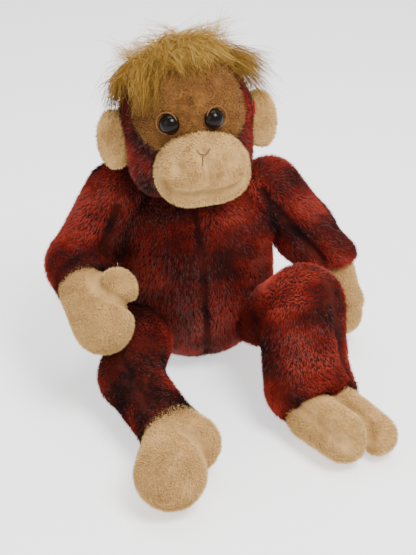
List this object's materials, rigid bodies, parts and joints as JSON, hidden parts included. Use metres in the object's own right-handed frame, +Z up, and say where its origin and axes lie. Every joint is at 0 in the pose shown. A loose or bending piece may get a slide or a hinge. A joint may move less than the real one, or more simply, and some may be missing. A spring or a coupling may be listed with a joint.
{
  "type": "stuffed monkey",
  "caption": "Seated floppy plush orangutan with mottled red fur, cream hands, feet, ears and muzzle, and a golden tuft of hair.",
  "frame": {"origin": "middle of the flat seat under the torso, on the surface the toy sits on", "axes": "+Z up, the toy faces -Y, and its own left hand is on the +X side"},
  "size_m": [0.254, 0.278, 0.281],
  "materials": {
    "red_fur": "matte plush pile, mottled dark red",
    "cream_plush": "matte short plush",
    "brown_plush": "matte short curly plush",
    "golden_hair": "long soft pile",
    "fibre": "white fibre",
    "pellets": "pellets in a thin bag",
    "eye_plastic": "polished black",
    "washer_plastic": "moulded",
    "thread": "twisted thread",
    "red_plastic": "moulded"
  },
  "bodies": {
    "torso": {"torso_cover": "red_fur", "torso_stuffing": "fibre", "seat_pellet_bag": "pellets"},
    "neck": {"neck_cover": "red_fur", "neck_stuffing": "fibre"},
    "head": {"head_cover": "red_fur", "face_panel": "brown_plush", "head_stuffing": "fibre", "muzzle_cover": "cream_plush", "muzzle_stuffing": "fibre", "right_ear": "cream_plush", "left_ear": "cream_plush", "right_eye": "eye_plastic", "left_eye": "eye_plastic", "right_eye_washer": "washer_plastic", "left_eye_washer": "washer_plastic", "hair_tuft": "golden_hair", "nose_stitch": "thread", "tag_fastener": "red_plastic"},
    "right_upper_arm": {"right_upper_arm_cover": "red_fur", "right_upper_arm_stuffing": "fibre"},
    "right_forearm": {"right_forearm_cover": "red_fur", "right_forearm_stuffing": "fibre"},
    "right_thigh": {"right_thigh_cover": "red_fur", "right_thigh_stuffing": "fibre"},
    "right_shin": {"right_shin_cover": "red_fur", "right_shin_stuffing": "fibre"},
    "right_hand": {"right_hand_cover": "cream_plush", "right_hand_filling": "pellets"},
    "right_foot": {"right_foot_cover": "cream_plush", "right_foot_filling": "pellets"},
    "left_upper_arm": {"left_upper_arm_cover": "red_fur", "left_upper_arm_stuffing": "fibre"},
    "left_forearm": {"left_forearm_cover": "red_fur", "left_forearm_stuffing": "fibre"},
    "left_thigh": {"left_thigh_cover": "red_fur", "left_thigh_stuffing": "fibre"},
    "left_shin": {"left_shin_cover": "red_fur", "left_shin_stuffing": "fibre"},
    "left_hand": {"left_hand_cover": "cream_plush", "left_hand_filling": "pellets"},
    "left_foot": {"left_foot_cover": "cream_plush", "left_foot_filling": "pellets"}
  },
  "joints": [
    {"name": "neck_turn", "type": "hinge", "parent": "torso", "child": "neck", "pos_m": [-0.003, 0, 0.17], "axis": [0, 0, 1], "range_deg": [-35, 35]},
    {"name": "head_nod", "type": "hinge", "parent": "neck", "child": "head", "pos_m": [-0.003, 0, 0.17], "axis": [-1, 0, 0], "range_deg": [-12, 25]},
    {"name": "right_shoulder", "type": "hinge", "parent": "torso", "child": "right_upper_arm", "pos_m": [-0.064, -0.002, 0.148], "axis": [-0.7799, 0.6259, 0], "range_deg": [-2, 55]},
    {"name": "right_elbow", "type": "hinge", "parent": "right_upper_arm", "child": "right_forearm", "pos_m": [-0.097, -0.014, 0.094], "axis": [-0.8175, -0.1934, 0.5425], "range_deg": [-6, 24]},
    {"name": "right_wrist", "type": "hinge", "parent": "right_forearm", "child": "right_hand", "pos_m": [-0.09, -0.052, 0.091], "axis": [-1, 0, 0], "range_deg": [-5, 40]},
    {"name": "left_shoulder", "type": "hinge", "parent": "torso", "child": "left_upper_arm", "pos_m": [0.057, 0.002, 0.144], "axis": [-0.8499, -0.5269, 0], "range_deg": [-20, 90]},
    {"name": "left_elbow", "type": "hinge", "parent": "left_upper_arm", "child": "left_forearm", "pos_m": [0.089, 0.016, 0.098], "axis": [-0.8101, -0.0636, -0.5829], "range_deg": [-30, 30]},
    {"name": "left_wrist", "type": "hinge", "parent": "left_forearm", "child": "left_hand", "pos_m": [0.112, -0.002, 0.068], "axis": [-1, 0, 0], "range_deg": [-28, 26]},
    {"name": "right_hip", "type": "hinge", "parent": "torso", "child": "right_thigh", "pos_m": [-0.05, -0.034, 0.038], "axis": [-1, 0, 0], "range_deg": [-40, 4]},
    {"name": "right_knee", "type": "hinge", "parent": "right_thigh", "child": "right_shin", "pos_m": [-0.07, -0.084, 0.029], "axis": [1, 0, 0], "range_deg": [0, 60]},
    {"name": "right_ankle", "type": "hinge", "parent": "right_shin", "child": "right_foot", "pos_m": [-0.043, -0.155, 0.025], "axis": [-1, 0, 0], "range_deg": [-25, 20]},
    {"name": "left_hip", "type": "hinge", "parent": "torso", "child": "left_thigh", "pos_m": [0.044, -0.032, 0.042], "axis": [-1, 0, 0], "range_deg": [-40, 10]},
    {"name": "left_knee", "type": "hinge", "parent": "left_thigh", "child": "left_shin", "pos_m": [0.07, -0.082, 0.082], "axis": [-1, 0, 0], "range_deg": [-6, 70]},
    {"name": "left_ankle", "type": "hinge", "parent": "left_shin", "child": "left_foot", "pos_m": [0.072, -0.116, 0.03], "axis": [-1, 0, 0], "range_deg": [-20, 20]}
  ]
}
